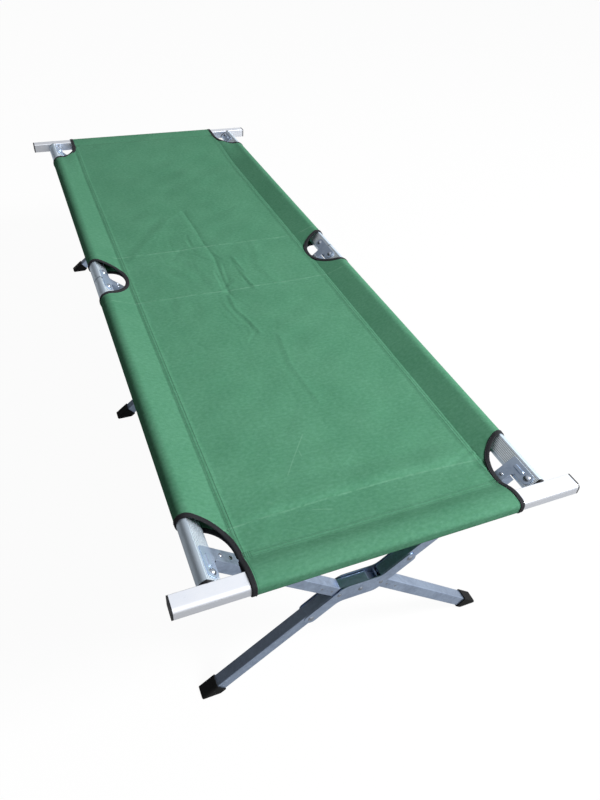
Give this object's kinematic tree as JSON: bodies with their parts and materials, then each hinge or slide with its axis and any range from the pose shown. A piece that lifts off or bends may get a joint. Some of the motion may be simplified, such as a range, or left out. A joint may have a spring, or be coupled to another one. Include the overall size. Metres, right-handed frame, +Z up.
{
  "type": "folding cot",
  "caption": "Folding camp cot: canvas bed sleeved over two-piece aluminium side rails and end bars, on steel scissor legs that close for carrying.",
  "frame": {"origin": "on the floor, under the middle of the cot", "axes": "+X across the cot towards the right rail, +Y along the cot to its far end, +Z up"},
  "size_m": [0.737, 1.9048, 0.4533],
  "materials": {
    "green_canvas": "woven canvas",
    "dark_binding": "woven tape",
    "rail_aluminium": "satin",
    "bracket_zinc": "zinc plated",
    "leg_steel": "galvanised",
    "black_rubber": "matte",
    "black_plastic": "matte"
  },
  "bodies": {
    "left_frame": {"rail_left_near": "rail_aluminium", "rail_left_far": "rail_aluminium", "rail_plug_left_near": "black_plastic", "rail_plug_left_far": "black_plastic", "end_bracket_left_near": "bracket_zinc", "end_bracket_left_far": "bracket_zinc", "middle_plate_left": "bracket_zinc", "bracket_pivots_left": "bracket_zinc", "bracket_rivets_left": "bracket_zinc", "inner_leg_upper_near": "leg_steel", "inner_leg_upper_middle": "leg_steel", "inner_leg_upper_far": "leg_steel", "inner_leg_lower_near": "leg_steel", "inner_leg_lower_middle": "leg_steel", "inner_leg_lower_far": "leg_steel", "inner_hub_near": "leg_steel", "inner_hub_middle": "leg_steel", "inner_hub_far": "leg_steel", "inner_hub_rivets": "leg_steel", "foot_right_near": "black_rubber", "foot_right_middle": "black_rubber", "foot_right_far": "black_rubber", "bed_panel": "green_canvas", "side_sleeve_left_near": "green_canvas", "side_sleeve_left_far": "green_canvas", "end_sleeve_near": "green_canvas", "end_sleeve_far": "green_canvas", "edge_binding_left": "dark_binding"},
    "right_frame": {"rail_right_near": "rail_aluminium", "rail_right_far": "rail_aluminium", "rail_plug_right_near": "black_plastic", "rail_plug_right_far": "black_plastic", "end_bracket_right_near": "bracket_zinc", "end_bracket_right_far": "bracket_zinc", "middle_plate_right": "bracket_zinc", "bracket_pivots_right": "bracket_zinc", "bracket_rivets_right": "bracket_zinc", "outer_leg_upper_near": "leg_steel", "outer_leg_upper_middle": "leg_steel", "outer_leg_upper_far": "leg_steel", "outer_leg_lower_near": "leg_steel", "outer_leg_lower_middle": "leg_steel", "outer_leg_lower_far": "leg_steel", "hub_cheeks_near": "leg_steel", "hub_cheeks_middle": "leg_steel", "hub_cheeks_far": "leg_steel", "hub_rivets": "leg_steel", "scissor_pivots": "leg_steel", "stop_pins": "leg_steel", "foot_left_near": "black_rubber", "foot_left_middle": "black_rubber", "foot_left_far": "black_rubber", "side_sleeve_right_near": "green_canvas", "side_sleeve_right_far": "green_canvas", "edge_binding_right": "dark_binding"},
    "end_bar_near": {"end_bar_near": "rail_aluminium", "end_bar_caps_near": "black_plastic"},
    "end_bar_far": {"end_bar_far": "rail_aluminium", "end_bar_caps_far": "black_plastic"}
  },
  "joints": [
    {"name": "scissor_fold", "type": "hinge", "parent": "left_frame", "child": "right_frame", "pos_m": [0, 0, 0.214], "axis": [0, -1, 0], "range_deg": [0, 95], "deforming": ["bed_panel", "side_sleeve_left_near", "side_sleeve_left_far", "side_sleeve_right_near", "side_sleeve_right_far", "end_sleeve_near", "end_sleeve_far", "edge_binding_left", "edge_binding_right"]},
    {"name": "bar_swing_near", "type": "hinge", "parent": "left_frame", "child": "end_bar_near", "pos_m": [-0.29893, -0.934, 0.43553], "axis": [0, 1, 0], "range_deg": [0, 40]},
    {"name": "bar_swing_far", "type": "hinge", "parent": "left_frame", "child": "end_bar_far", "pos_m": [-0.29893, 0.934, 0.43553], "axis": [0, 1, 0], "range_deg": [0, 40]}
  ],
  "couplings": [
    {"joint": "bar_swing_near", "follows": "scissor_fold", "ratio": 0.42},
    {"joint": "bar_swing_far", "follows": "scissor_fold", "ratio": 0.42}
  ]
}
